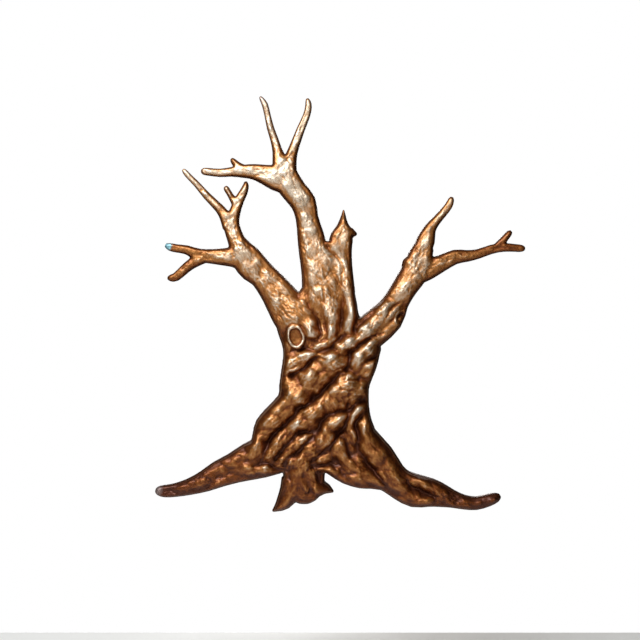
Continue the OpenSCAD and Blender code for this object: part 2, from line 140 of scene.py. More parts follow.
# Creases where two ropes or folds meet: x, z, reach to each side, depth.
CREASES = {
    "main": [(118, 106, 14, 4), (102, 103, 16, 7), (88, 97, 16, 9), (74, 82, 16, 9), (56, 69, 16, 9),
        (48, 58, 15, 10), (49, 40, 15, 10), (42, 26, 16, 10), (24, 18, 18, 9), (2, 0, 18, 11),
        (-14, -18, 18, 11), (-33, -33, 18, 11), (-50, -48, 18, 11), (-66, -66, 17, 10), (-84, -82, 15, 9),
        (-97, -96, 14, 9), (-108, -112, 14, 9), (-119, -132, 13, 8), (-126, -146, 10, 4)],
    "left_cross": [(-88, -84, 12, 6), (-108, -84, 12, 5), (-130, -90, 10, 4), (-146, -96, 8, 2)],
    "second": [(84, -24, 10, 4), (74, -32, 13, 7), (60, -42, 14, 9), (46, -50, 15, 10), (26, -53, 16, 9),
        (6, -59, 16, 9), (-7, -74, 15, 9), (-18, -87, 15, 9), (-38, -92, 14, 9), (-56, -96, 14, 8),
        (-66, -108, 13, 8), (-78, -122, 13, 8), (-90, -138, 12, 7), (-100, -148, 9, 4)],
    "third": [(-26, -96, 10, 4), (-34, -108, 12, 7), (-44, -121, 12, 8), (-58, -134, 12, 7),
        (-74, -146, 10, 5)],
    "fourth": [(46, -56, 10, 5), (38, -75, 15, 9), (28, -92, 16, 9), (18, -111, 15, 10), (2, -128, 14, 9),
        (-12, -136, 13, 9), (-26, -148, 12, 9), (-30, -158, 12, 8), (-22, -170, 12, 8), (-12, -184, 10, 6)],
    "big_fold": [(52, 2, 10, 2), (46, -16, 12, 4), (44, -34, 12, 6), (44, -46, 10, 5)],
    "big_neck": [(4, -8, 10, 3), (0, -24, 12, 5), (4, -42, 10, 4)],
    "side_left": [(46, -58, 9, 5), (52, -72, 9, 5), (48, -88, 8, 4)],
    "side_right": [(80, -46, 9, 5), (70, -68, 11, 7), (64, -84, 12, 8), (61, -102, 12, 8),
        (62, -118, 12, 7), (72, -134, 14, 8), (86, -152, 14, 8), (102, -172, 14, 8), (120, -192, 12, 6),
        (134, -204, 9, 3)],
    "wedge_left": [(14, -118, 10, 5), (16, -134, 9, 4), (22, -152, 8, 3)],
    "wedge_right": [(34, -106, 10, 5), (44, -122, 11, 6), (56, -140, 10, 4), (68, -156, 8, 3)],
    "rim_top": [(-24, -160, 10, 5), (-4, -160, 10, 6), (18, -161, 10, 5), (36, -166, 8, 4)],
    "left_foot": [(-76, -168, 8, 4), (-98, -160, 10, 6), (-124, -156, 11, 7), (-150, -154, 9, 4),
        (-170, -152, 7, 2)],
    "neck_left": [(-66, -144, 8, 3), (-78, -152, 9, 5), (-80, -166, 8, 4)],
    "under_thin": [(0, 55, 10, 4), (-14, 52, 14, 8), (-30, 46, 15, 9), (-46, 28, 15, 9), (-62, 19, 14, 8),
        (-80, 15, 12, 5)],
    "thin_split": [(6, 68, 9, 5), (-8, 64, 10, 6), (-22, 65, 9, 5), (-36, 68, 9, 4)],
    "thin_gap": [(-34, 47, 6, 2), (-56, 41, 6, 3), (-80, 37, 5, 2)],
    "under_scar": [(-86, 64, 10, 3), (-66, 66, 13, 5), (-44, 70, 13, 6), (-34, 80, 12, 6),
        (-38, 90, 10, 5)],
    "limb_top": [(74, 124, 9, 4), (62, 110, 11, 6), (46, 99, 12, 8), (30, 92, 13, 8), (14, 79, 12, 8),
        (4, 70, 10, 6)],
    "butt_edge": [(-46, 188, 9, 2), (-32, 162, 11, 5), (-20, 140, 12, 6), (-12, 120, 12, 8),
        (-10, 102, 12, 8), (-18, 90, 11, 7), (-34, 86, 10, 6)],
    "butt_inner": [(-50, 124, 7, 2), (-42, 112, 8, 4), (-36, 96, 7, 3)],
    "centre_left": [(0, 130, 9, 3), (-1, 112, 10, 5), (0, 96, 9, 4)],
    "centre_edge": [(38, 176, 8, 2), (36, 150, 10, 5), (33, 128, 11, 7), (31, 108, 11, 7), (24, 96, 9, 5)],
    "broken_left": [(4, 286, 8, 5), (12, 271, 9, 6), (22, 259, 9, 6), (31, 250, 8, 5), (35, 236, 8, 4),
        (35, 220, 7, 2)],
    "broken_edge": [(60, 180, 7, 2), (62, 150, 8, 4), (62, 128, 9, 5), (58, 112, 8, 4)],
    "right_low": [(104, 66, 9, 3), (88, 52, 10, 4), (78, 40, 10, 5), (66, 30, 9, 4), (54, 24, 8, 3)],
    "lump_top": [(80, 16, 9, 3), (64, 14, 9, 3), (50, 16, 9, 4)],
    "eye_edge": [(160, 171, 8, 3), (149, 163, 9, 6), (138, 156, 10, 8), (129, 148, 10, 8), (123, 138, 9, 7),
        (116, 128, 8, 4)],
    "hole_low": [(170, 122, 8, 3), (152, 112, 9, 3), (132, 104, 9, 4), (116, 98, 8, 3)],
    "root_hollow": [(164, -192, 10, 5), (176, -206, 12, 7), (196, -214, 11, 5), (222, -224, 8, 3),
        (244, -238, 6, 2)],
}


# ---- numbers ----

def highest(a, reach):
    """Highest value within reach cells in each direction."""
    for axis in (0, 1):
        step = 1
        left = reach
        while left > 0:
            move = min(step, left)
            a = np.maximum(a, np.maximum(np.roll(a, move, axis), np.roll(a, -move, axis)))
            left -= move
            step *= 2
    return a


def smoothstep(low, high, x):
    """0 below low, 1 above high, and a smooth rise between them."""
    t = np.clip((x - low) / (high - low), 0, 1)
    return t * t * (3 - 2 * t)


def blur(a, sigma):
    """Gaussian blur of a 2-D array."""
    reach = max(1, int(math.ceil(2.6 * sigma)))
    kernel = np.exp(-0.5 * (np.arange(-reach, reach + 1) / sigma) ** 2)
    kernel /= kernel.sum()
    for axis in (0, 1):
        count = a.shape[axis]
        size = 1 << int(math.ceil(math.log2(count + 2 * reach)))
        spectrum = np.fft.rfft(kernel, size)
        spectrum = spectrum[:, None] if axis == 0 else spectrum[None, :]
        wide = np.fft.irfft(np.fft.rfft(a, size, axis=axis) * spectrum, size, axis=axis)
        a = wide[reach:reach + count] if axis == 0 else wide[:, reach:reach + count]
    return a


def masked_blur(a, mask, sigma):
    """Blur that takes nothing from outside the mask."""
    weight = mask.astype(float)
    return np.where(mask, blur(a * weight, sigma) / np.maximum(blur(weight, sigma), 1e-3), 0.0)


def lowest(a, reach):
    """Lowest value within reach cells in each direction."""
    for axis in (0, 1):
        best = a
        for step in range(1, reach + 1):
            best = np.minimum(best, np.minimum(np.roll(a, step, axis), np.roll(a, -step, axis)))
        a = best
    return a


def distance_inside(mask, reach):
    """Distance from each cell of the mask to the nearest cell outside it, up to reach."""
    d = np.where(mask, float(reach), 0.0)
    for columns in (range(mask.shape[1]), range(mask.shape[1] - 1, -1, -1)):
        run = np.zeros(mask.shape[0])
        for i in columns:
            run = np.where(mask[:, i], run + 1.0, 0.0)
            d[:, i] = np.minimum(d[:, i], run)
    square = d ** 2
    out = square.copy()
    for step in range(1, reach + 1):
        for way in (step, -step):
            out = np.minimum(out, np.roll(square, way, 0) + step * step)
    return np.minimum(np.sqrt(out), reach)


class Raster:
    """A grid of cells over the wall plane, in millimetres: x across, z up."""
    def __init__(self, points):
        low, high = points.min(0), points.max(0)
        self.x0, self.z0 = math.floor(low[0]) - MARGIN, math.floor(low[2]) - MARGIN
        self.nx = int(math.ceil((high[0] - self.x0) / CELL)) + MARGIN
        self.nz = int(math.ceil((high[2] - self.z0) / CELL)) + MARGIN
        x = self.x0 + CELL * (np.arange(self.nx) + 0.5)
        z = self.z0 + CELL * (np.arange(self.nz) + 0.5)
        self.X, self.Z = np.meshgrid(x, z)

    def new(self):
        return np.zeros((self.nz, self.nx))

    def sample(self, a, x, z):
        """Value of a raster at points, between its cells."""
        u = np.clip((x - self.x0) / CELL - 0.5, 0, self.nx - 1.001)
        v = np.clip((z - self.z0) / CELL - 0.5, 0, self.nz - 1.001)
        i, j = u.astype(int), v.astype(int)
        fu, fv = u - i, v - j
        low = a[j, i] * (1 - fu) + a[j, i + 1] * fu
        high = a[j + 1, i] * (1 - fu) + a[j + 1, i + 1] * fu
        return low * (1 - fv) + high * fv

    def noise(self, seed, sigma):
        """Smooth noise of unit spread, with lumps about four sigma across."""
        a = blur(np.random.default_rng(seed).standard_normal(self.X.shape), sigma / CELL)
        return a / a.std()

    def window(self, x, z, reach):
        """The part of the grid within reach of some points."""
        i0 = max(int((np.min(x) - reach - self.x0) / CELL), 0)
        i1 = min(int((np.max(x) + reach - self.x0) / CELL) + 2, self.nx)
        j0 = max(int((np.min(z) - reach - self.z0) / CELL), 0)
        j1 = min(int((np.max(z) + reach - self.z0) / CELL) + 2, self.nz)
        return slice(j0, j1), slice(i0, i1)


# ---- the CAD castings ----

def vertices(mesh):
    """Vertices of a mesh, in metres."""
    points = np.empty(len(mesh.vertices) * 3)
    mesh.vertices.foreach_get("co", points)
    return points.reshape(-1, 3)


def node_mesh(name):
    """Vertices in millimetres and triangles of a CAD node."""
    mesh = frame["nodes"][name].data
    mesh.calc_loop_triangles()
    corners = np.empty(len(mesh.loop_triangles) * 3, dtype=np.int64)
    mesh.loop_triangles.foreach_get("vertices", corners)
    return vertices(mesh) / MM, corners.reshape(-1, 3)


def cad_height(raster, meshes):
    """Greatest height in front of the wall plane, from points spread over every triangle."""
    out = raster.new()
    for points, triangles in meshes:
        a, b, c = (points[triangles[:, k]] for k in range(3))
        sides = [((p - q) ** 2).sum(1) for p, q in ((a, b), (b, c), (c, a))]
        steps = np.sqrt(np.max(sides, axis=0)) / (0.6 * CELL)
        steps = np.minimum(2 ** np.ceil(np.log2(np.maximum(steps, 1))), 256).astype(int)
        for n in np.unique(steps):
            i, j = np.meshgrid(np.arange(n + 1), np.arange(n + 1))
            keep = i + j <= n
            wa, wb = (i[keep] / n)[None, :, None], (j[keep] / n)[None, :, None]
            chosen = np.flatnonzero(steps == n)
            for part in np.array_split(chosen, max(1, chosen.size * wa.size // 400000)):
                p = (a[part, None] * wa + b[part, None] * wb + c[part, None] * (1 - wa - wb)).reshape(-1, 3)
                column = ((p[:, 0] - raster.x0) / CELL).astype(int)
                row = ((p[:, 2] - raster.z0) / CELL).astype(int)
                np.maximum.at(out, (row, column), 0.05 - p[:, 1])
    return out


def find_joints(meshes):
    """Joint planes, as the points that two castings share: centre, direction across, half-width."""
    shared = {name: set(map(tuple, np.round(points, 2))) for name, (points, _) in meshes.items()}
    joints = []
    for k, a in enumerate(CASTINGS):
        for b in CASTINGS[k + 1:]:
            common = np.array(sorted(shared[a] & shared[b]))
            if len(common) > 6:
                flat = common[:, [0, 2]]
                centre = flat.mean(0)
                across = np.linalg.svd(flat - centre)[2][0]
                along = (flat - centre) @ across
                middle = centre + across * (along.min() + along.max()) / 2
                joints.append((middle, across, (along.max() - along.min()) / 2))
    return joints


# ---- the modelled relief ----

def spline_path(points):
    """Smooth curve through given points of any width, with a tapered end beyond each."""
    p = np.array(points, float)
    for first, second, at in ((0, 1, 0), (-1, -2, len(p) + 1)):
        away = p[first, :2] - p[second, :2]
        tip = p[first].copy()
        tip[:2] += away / np.hypot(*away) * tip[2] * 0.9
        tip[2:] *= (0.5, 0.0)
        p = np.insert(p, at, tip, axis=0)
    out = []
    for i in range(len(p) - 1):
        a, b, c, d = p[max(i - 1, 0)], p[i], p[i + 1], p[min(i + 2, len(p) - 1)]
        for t in np.arange(6) / 6:
            out.append(0.5 * (2 * b + (c - a) * t + (2 * a - 5 * b + 4 * c - d) * t * t
                              + (3 * b - a - 3 * c + d) * t ** 3))
    out.append(p[-1])
    out = np.array(out)
    run = np.concatenate([[0], np.cumsum(np.hypot(*np.diff(out[:, :2], axis=0).T))])
    swell = np.sin(2 * math.pi * run / LUMP_LENGTH + p[1, 0])
    out[:, 2] = np.maximum(out[:, 2] * (1.05 + 0.12 * swell), 1.5)
    out[:, 3] = np.maximum(out[:, 3] * (1 + 0.15 * swell), 0.0)
    return out


def ridge_profile(t):
    """Height across a ridge, from 1 on its crest to 0 at its foot."""
    return np.maximum(1 - t * t, 0) ** 0.8


def crease_profile(t):
    """Depth across a crease, as between two round ropes that touch."""
    return 1 - np.sqrt(1 - np.clip(1 - t, 0, 1) ** 2)


def stroke(raster, X, Z, points, profile):
    """Stroke along a path: its window, its height there and its direction."""
    q = spline_path(points)
    window = raster.window(q[:, 0], q[:, 1], q[:, 2].max() + 12)
    x, z = X[window], Z[window]
    best, east, north = np.zeros(x.shape), np.ones(x.shape), np.zeros(x.shape)
    for a, b in zip(q[:-1], q[1:]):
        dx, dz = b[0] - a[0], b[1] - a[1]
        length2 = dx * dx + dz * dz + 1e-9
        t = np.clip(((x - a[0]) * dx + (z - a[1]) * dz) / length2, 0, 1)
        d = np.hypot(x - a[0] - t * dx, z - a[1] - t * dz)
        h = (a[3] + (b[3] - a[3]) * t) * profile(d / (a[2] + (b[2] - a[2]) * t))
        better = h > best
        best = np.where(better, h, best)
        east = np.where(better, dx / math.sqrt(length2), east)
        north = np.where(better, dz / math.sqrt(length2), north)
    return window, best, east, north


def grain_direction(inside, marks):
    """Direction of the tool marks: along the ropes, and elsewhere along the limbs."""
    gz, gx = np.gradient(blur(inside, 3.0))
    # doubled angles are averaged, since a grain has no front and back
    weight = np.hypot(gx, gz) + 1e-6
    angle = 2 * np.arctan2(gz, gx) + math.pi
    c, s = blur(weight * np.cos(angle), 6.0), blur(weight * np.sin(angle), 6.0)
    scale = 1 / (np.hypot(c, s) + 0.15)
    rope_c, rope_s, rope_w = (blur(a, 4.0) for a in marks)
    share = np.clip(rope_w / 3.0, 0, 1)
    size = np.hypot(rope_c, rope_s) + 1e-6
    c = c * scale * (1 - share) + rope_c / size * share
    s = s * scale * (1 - share) + rope_s / size * share
    theta = 0.5 * np.arctan2(s, c)
    return np.cos(theta), np.sin(theta)


def tool_marks(raster, grain, seed, size, stretch, slope, bow):
    """Overlapping tilted and bowed dabs of clay, about one size wide and longer along the grain."""
    fx, fz = grain
    random = np.random.default_rng(seed)
    wide, high = int(raster.nx * CELL / size) + 5, int(raster.nz * CELL / size) + 5
    shape = (high, wide)
    jx, jz = random.random(shape), random.random(shape)
    tilt_x, tilt_z = (np.clip(random.normal(0, slope, shape), -2 * slope, 2 * slope) for _ in range(2))
    lift = random.uniform(-0.3, 0.3, shape) * size * slope
    gx, gz = (raster.X - raster.x0) / size, (raster.Z - raster.z0) / size
    i0, j0 = gx.astype(int), gz.astype(int)
    best = np.full(raster.X.shape, -1e9)
    reach = int(math.ceil(1 + 0.6 * stretch))
    for dj in range(-reach, reach + 1):
        for di in range(-reach, reach + 1):
            i, j = np.clip(i0 + di + 1, 0, wide - 1), np.clip(j0 + dj + 1, 0, high - 1)
            dx, dz = (gx - (i0 + di + jx[j, i])) * size, (gz - (j0 + dj + jz[j, i])) * size
            u, v = (dx * fx + dz * fz) / stretch, dz * fx - dx * fz
            h = lift[j, i] + tilt_x[j, i] * dx + tilt_z[j, i] * dz - bow * (u * u + v * v) / size
            best = np.maximum(best, h)
    return (best - best.mean()) / best.std()


def streaks(raster, grain, seed, length, sigma):
    """Fine noise drawn out along the grain, of unit spread."""
    fx, fz = grain
    noise = raster.noise(seed, sigma)
    out = noise.copy()
    for way in (1, -1):
        x, z, px, pz = raster.X, raster.Z, fx * way, fz * way
        for step in range(length):
            ux, uz = raster.sample(fx, x, z), raster.sample(fz, x, z)
            flip = np.where(ux * px + uz * pz < 0, -1.0, 1.0)
            px, pz = ux * flip, uz * flip
            x, z = x + px * CELL, z + pz * CELL
            out += raster.sample(noise, x, z) * (1 - step / length)
    return out / out.std()


def oval(raster, x, z, rx, rz, turn):
    """Distance from the centre of a turned oval, 1 on its line, and its angle."""
    c, s = math.cos(math.radians(turn)), math.sin(math.radians(turn))
    dx, dz = raster.X - x, raster.Z - z
    u, v = (dx * c + dz * s) / rx, (dz * c - dx * s) / rz
    return np.hypot(u, v), np.arctan2(v, u)


def branch_scar(raster, height):
    """Oval scar of a lost branch: a thin raised lip round a flat, slightly sunk face."""
    r, angle = oval(raster, *SCAR, *SCAR_RADII, 8)
    r = r * (1 + 0.03 * np.sin(2 * angle + 1) + 0.025 * np.sin(5 * angle) + 0.02 * raster.noise(51, 2.5))
    level = raster.sample(height, *np.array([SCAR], float).T)[0]
    flat = 1 - smoothstep(1.0, 1.35, r)
    height = height * (1 - flat) + (level + 1.0) * flat
    lip = np.exp(-((r - 0.93) / 0.16) ** 2) * (1 + 0.3 * raster.noise(53, 2.5))
    inner = np.exp(-((r - 0.60) / 0.08) ** 2)
    face = 0.25 * raster.noise(52, 1.5) * (r < 0.8)
    sunk = 4.0 * (1 - smoothstep(0.70, 0.86, r))
    moat = 1.8 * np.exp(-((r - 1.22) / 0.12) ** 2)
    return height + 2.8 * lip + 0.8 * inner + face - sunk - moat


def shoot_hole(raster, height):
    """Eye where a shoot broke out of the right limb: a curled slit round a small sunk bud."""
    r, angle = oval(raster, *EYE, *EYE_RADII, -20)
    slit = np.exp(-((r - 1.0) / 0.32) ** 2) * (0.55 + 0.45 * np.cos(angle - 2.5))
    sunk = 2.5 * (1 - smoothstep(0.6, 1.2, r))
    lip = np.exp(-((r - 1.7) / 0.30) ** 2) * (0.5 + 0.5 * np.cos(angle - 2.4))
    return height - 5.0 * slit - sunk + 2.2 * lip


def relief(raster, cad, inside, mask):
    """Modelled height of the front."""
    fine, broad = masked_blur(cad, mask, 4.0), masked_blur(cad, mask, 13.0)
    middle = smoothstep(10, 34, inside)
    near = smoothstep(1, 8, inside)
    base = masked_blur(cad, mask, 1.2) * (1 - near) + (fine * (1 - middle) + broad * middle) * near
    # the front is flatter than an arch, and falls away steeply near the outline
    crown = np.maximum(masked_blur(highest(base, 24), mask, 12), base)
    base = crown * (base / np.maximum(crown, 1)) ** FLATNESS
    # the ropes wander a little, so that none has a ruled edge
    X = raster.X + 2.2 * raster.noise(11, 8) + 0.5 * raster.noise(12, 3)
    Z = raster.Z + 2.2 * raster.noise(13, 8) + 0.5 * raster.noise(14, 3)
    ridge, support, groove = raster.new(), raster.new(), raster.new()
    marks = [raster.new() for _ in range(3)]
    for points in RIDGES.values():
        window, h, east, north = stroke(raster, X, Z, points, ridge_profile)
        ridge[window] = np.log(np.exp(0.8 * ridge[window]) + np.exp(0.8 * h) - 1) / 0.8
        support[window] = np.maximum(support[window], h > 0.5)
        double = 2 * np.arctan2(north, east)
        for mark, value in zip(marks, (h * np.cos(double), h * np.sin(double), h)):
            mark[window] += value
    for points in CREASES.values():
        window, h, _, _ = stroke(raster, X, Z, points, crease_profile)
        groove[window] = np.maximum(groove[window], h)
    grain = grain_direction(inside, marks)
    form = RISE * (blur(ridge, 2.5) - 4.0 * blur(support, 12.0)) - DIG * blur(groove, 2.0)
    # some patches are worked over again and again, others only smoothed with a thumb
    worked = 0.7 + 0.6 * smoothstep(-0.9, 1.1, raster.noise(23, 11.0))
    bold = 1.2 - 0.6 * smoothstep(60, 160, raster.Z)
    form += bold * (LUMPS[0] * raster.noise(21, 6.0) + LUMPS[1] * raster.noise(22, 3.2))
    form += DABS[0] * bold * tool_marks(raster, grain, 31, 20.0, 1.5, 0.30, 0.9)
    crust = -DABS[1] * bold * tool_marks(raster, grain, 32, 8.0, 1.5, 0.30, 0.9)
    crust -= DABS[2] * tool_marks(raster, grain, 33, 4.4, 1.5, 0.25, 0.8)
    crust += DABS[3] * streaks(raster, grain, 41, 5, 1.1)
    # thin wrinkles that wander along the grain
    crust -= WRINKLE * np.exp(-(streaks(raster, grain, 42, 7, 2.6) / 0.20) ** 2)
    height = base + form * smoothstep(1, 12, inside) + crust * near * worked
    height = branch_scar(raster, height)
    height = shoot_hole(raster, height)
    return np.where(mask, blur(height, 0.55), 0.0)


# ---- the cast surface ----

def skin(points, polygons, size):
    """One even quad mesh round everything inside the given closed meshes."""
    grid = openvdb.FloatGrid.createLevelSetFromPolygons(
        (points / size).astype(np.float32), triangles=polygons.astype(np.uint32),
        transform=openvdb.createLinearTransform(1.0), halfWidth=3.0)
    out, quads = grid.convertToQuads(0.0)
    return out.astype(float) * size, quads.astype(np.int64)[:, ::-1]


def triangles_of(quads):
    """Two triangles for each quad."""
    return np.concatenate([quads[:, [0, 1, 2]], quads[:, [0, 2, 3]]])


def carve(raster, points, cad, inside, height):
    """Moves the front surface to the modelled height, and keeps the hollow clear behind it."""
    x, depth, z = points[:, 0], -points[:, 1], points[:, 2]
    front = depth > raster.sample(lowest(cad, 2), x, z) - 1.5
    new = raster.sample(height, x, z)
    d = raster.sample(inside, x, z)
    moved = depth + (new - depth) * smoothstep(1.5, 8, d)
    ceiling = raster.sample(lowest(height, 3), x, z) - 3.5
    kept = depth - np.maximum(depth - ceiling, 0) * smoothstep(4, 8, d)
    out = points.copy()
    out[:, 1] = -np.where(front, moved, kept)
    return out


def cast_surface(raster, meshes, cad, inside, height):
    """The whole tree as one surface at the modelled height."""
    points, polygons, start = [], [], 0
    for p, t in meshes.values():
        points.append(p)
        polygons.append(t + start)
        start += len(p)
    points, quads = skin(np.concatenate(points), np.concatenate(polygons), VOXEL)
    points = carve(raster, points, cad, inside, height)
    points, quads = skin(points, triangles_of(quads), VOXEL)
    # the level set rounds the finest marks away, so the front goes back to its height
    x, z, depth = points[:, 0], points[:, 2], -points[:, 1]
    new = raster.sample(height, x, z)
    share = (depth > new - 2.6) * smoothstep(5, 9, raster.sample(inside, x, z))
    points[:, 1] = -(depth + (new - depth) * share)
    return points, quads


def cut_at_joints(points, quads, joints):
    """The surface cut along each joint plane, with the cut edges left open."""
    mesh = bpy.data.meshes.new("tree")
    mesh.from_pydata((points * MM).tolist(), [], quads.tolist())
    bm = bmesh.new()
    bm.from_mesh(mesh)
    bpy.data.meshes.remove(mesh)
    where = (points[quads[:, 0], 0], points[quads[:, 0], 2])
    chosen = [np.flatnonzero(np.hypot(where[0] - m[0], where[1] - m[1]) < half + 7) for m, _, half in joints]
    bm.faces.ensure_lookup_table()
    near = [[bm.faces[i] for i in index] for index in chosen]
    seams = []
    for faces, (middle, across, _) in zip(near, joints):
        parts = set(faces)
        parts.update(e for f in faces for e in f.edges)
        parts.update(v for f in faces for v in f.verts)
        cut = bmesh.ops.bisect_plane(
            bm, geom=list(parts), dist=2e-5, plane_co=(middle[0] * MM, 0, middle[1] * MM),
            plane_no=(-across[1], 0, across[0]))
        seams += [e for e in cut["geom_cut"] if isinstance(e, bmesh.types.BMEdge)]
    bmesh.ops.split_edges(bm, edges=seams)
    return bm


def islands(count, edges):
    """Label of the connected island of each vertex."""
    label = np.arange(count)
    while True:
        a, b = label[edges[:, 0]], label[edges[:, 1]]
        low = np.minimum(a, b)
        new = label.copy()
        np.minimum.at(new, a, low)
        np.minimum.at(new, b, low)
        while True:
            jumped = new[new]
            if (jumped == new).all():
                break
            new = jumped
        if (new == label).all():
            return label
        label = new


def close_cuts(bm, joints):
    """Closes a casting's open ends with flat joint faces, holes and all."""
    loose = [e for e in bm.edges if e.is_boundary]
    for e in loose:
        e.smooth = False
    for middle, across, half in joints:
        normal = (-across[1], 0.0, across[0])
        ring = []
        for e in loose:
            x, z = (e.verts[0].co.x + e.verts[1].co.x) / 2, (e.verts[0].co.z + e.verts[1].co.z) / 2
            dx, dz = x - middle[0] * MM, z - middle[1] * MM
            if abs(dx * normal[0] + dz * normal[2]) < 1e-4 and math.hypot(dx, dz) < (half + 9) * MM:
                ring.append(e)
        if len(ring) > 2:
            made = bmesh.ops.triangle_fill(bm, edges=ring, use_beauty=True, normal=normal)
            for face in made["geom"]:
                if isinstance(face, bmesh.types.BMFace):
                    face.smooth = False
    bmesh.ops.recalc_face_normals(bm, faces=bm.faces)


def castings(points, quads, joints, meshes):
    """One closed mesh for each casting."""
    bm = cut_at_joints(points, quads, joints)
    whole = bpy.data.meshes.new("whole")
    bm.to_mesh(whole)
    bm.free()
    co = vertices(whole)
    count = len(co)
    edges = np.empty(len(whole.edges) * 2, dtype=np.int64)
    whole.edges.foreach_get("vertices", edges)
    label = islands(count, edges.reshape(-1, 2))
    corners = np.empty(len(whole.loops), dtype=np.int64)
    whole.loops.foreach_get("vertex_index", corners)
    starts = np.empty(len(whole.polygons), dtype=np.int64)
    whole.polygons.foreach_get("loop_start", starts)
    bpy.data.meshes.remove(whole)
    faces = np.split(corners, starts[1:])
    owner = label[corners[starts]]
    boxes = {name: np.concatenate([p.min(0), p.max(0)]) for name, (p, _) in meshes.items()}
    pieces = {}
    for island in np.unique(label):
        mine = np.flatnonzero(label == island)
        if len(mine) < 200:  # a crumb left by a cut
            continue
        own = co[mine]
        box = np.concatenate([own.min(0), own.max(0)]) / MM
        name = min(boxes, key=lambda n: np.abs(boxes[n] - box).sum())
        place = np.full(count, -1)
        place[mine] = np.arange(len(mine))
        mesh = bpy.data.meshes.new(name)
        own_faces = [place[faces[k]].tolist() for k in np.flatnonzero(owner == island)]
        mesh.from_pydata(own.tolist(), [], own_faces)
        mesh.shade_smooth()
        bm = bmesh.new()
        bm.from_mesh(mesh)
        close_cuts(bm, joints)
        bm.to_mesh(mesh)
        bm.free()
        pieces[name] = mesh
    return pieces


def add_relief_colors(mesh, raster, maps):
    """Stores what the patina and the painted light and shade need at each vertex: hollow, crease, edge and
    front.
    """
    co = vertices(mesh) / MM
    x, z = co[:, 0], co[:, 2]
    front = smoothstep(-4.5, -1.5, -co[:, 1] - raster.sample(maps["height"], x, z))
    near = 1 - smoothstep(3, 6, raster.sample(maps["inside"], x, z))
    front = np.maximum(front, near)
    values = [raster.sample(maps[k], x, z) for k in ("hollow", "crease", "edge")] + [front]
    color = mesh.attributes.new("relief", "FLOAT_COLOR", "POINT")
    color.data.foreach_set("color", np.stack(values, axis=1).astype(np.float32).ravel())


def relief_maps(height, inside):
    """Maps for the patina and for the painted light and shade, each from 0 to 1."""
    gz, gx = np.gradient(blur(height, 1.2), CELL)
    steep = smoothstep(0.7, 1.9, np.hypot(gx, gz))
    # how far in from the outline, as a share of the limb's own half-width
    half = np.clip(blur(highest(inside, 22), 5), 5, 24)
    edge = 0.6 * smoothstep(0.08, 0.42, inside / half) + 0.4 * smoothstep(0.25, 1.05, inside / half)
    return {
        "height": height,
        "inside": inside,
        # hollow and crease are high in recesses and low on crests; the bronze darkens the recesses and pales
        # the crests with them, a darker patina in the hollows but also painted shade and painted highlights
        "hollow": np.clip(0.5 + (masked_blur(height, inside > 3, 10) - height) / 15, 0, 1),
        "crease": np.clip(0.5 + (masked_blur(height, inside > 1, 2.4) - height) / 2.0, 0, 1),
        # the edge map falls towards the outline and on steep slopes, where the bronze is darkened: painted
        # shade
        "edge": edge * (1 - 0.35 * steep),
    }


# ---- screws, washers, nuts and studs ----

def solids_of(name):
    """Points of each separate solid of a hardware node, in millimetres."""
    points, triangles = node_mesh(name)
    welded, index = np.unique(np.round(points, 3), axis=0, return_inverse=True)
    corners = index.reshape(-1)[triangles]
    label = islands(len(welded), np.concatenate([corners[:, [0, 1]], corners[:, [1, 2]]]))
    return [welded[label == k] for k in np.unique(label)]


def turned(rings, closed):
    """Surface through rings of (radius, height) pairs round an axis, capped or joined end to end."""
    rings = np.array(rings)
    count, segments = rings.shape[:2]
    angle = 2 * math.pi * np.arange(segments) / segments
    points = np.stack([rings[..., 0] * np.cos(angle), rings[..., 0] * np.sin(angle), rings[..., 1]], axis=-1)
    points = points.reshape(-1, 3)
    k = np.arange(segments)
    after = (k + 1) % segments
    faces = []
    for i in range(count if closed else count - 1):
        low, high = i * segments, (i + 1) % count * segments
        faces += np.stack([low + k, low + after, high + after, high + k], axis=1).tolist()
    if not closed:
        for ring, center in ((0, len(points)), (count - 1, len(points) + 1)):
            tip = [0, 0, rings[ring, :, 1].mean()]
            points = np.vstack([points, tip])
            rim = ring * segments
            order = (rim + after, rim + k) if ring == 0 else (rim + k, rim + after)
            faces += np.stack([*order, np.full(segments, center)], axis=1).tolist()
    return points, faces


def ring(radius, height):
    """Level ring of (radius, height) pairs; the radius may change round it."""
    out = np.empty((HEAD_SIDES, 2))
    out[:, 0], out[:, 1] = radius, height
    return out


def threaded_rod(radius, low, high, pitch):
    """Rod with a rolled screw thread and a chamfer at each end."""
    turn = np.arange(THREAD_SIDES) / THREAD_SIDES
    depth = 0.55 * pitch
    rings = []
    for t in np.arange(low, high + 1e-6, (high - low) / round((high - low) / pitch * 6)):
        phase = (t / pitch - turn) % 1
        r = radius - depth * np.clip(np.abs(phase - 0.5) * 2.6 - 0.3, 0, 1)
        r = np.minimum(r, radius - depth + np.minimum(t - low, high - t) * 0.9)
        rings.append(np.stack([r, np.full(THREAD_SIDES, t)], axis=1))
    return turned(rings, False)


def hex_radius(flat):
    """Distance from the axis to the side of a hexagon with a corner at angle zero."""
    angle = 2 * math.pi * np.arange(HEAD_SIDES) / HEAD_SIDES
    return flat / np.cos(angle % (math.pi / 3) - math.pi / 6)


def hex_head(flat, low, high):
    """Hexagon head with its corners chamfered on top."""
    side = hex_radius(flat)
    drop = (side - flat) * 0.55
    return turned([ring(flat * 0.95, low), ring(side * 0.995, low + 0.1), ring(side, low + 0.3),
                   ring(side, high - drop - 0.15), ring(side * 0.99, high - drop),
                   ring(flat * 0.96, high - 0.02), ring(flat * 0.90, high), ring(flat * 0.55, high - 0.12)],
                  False)


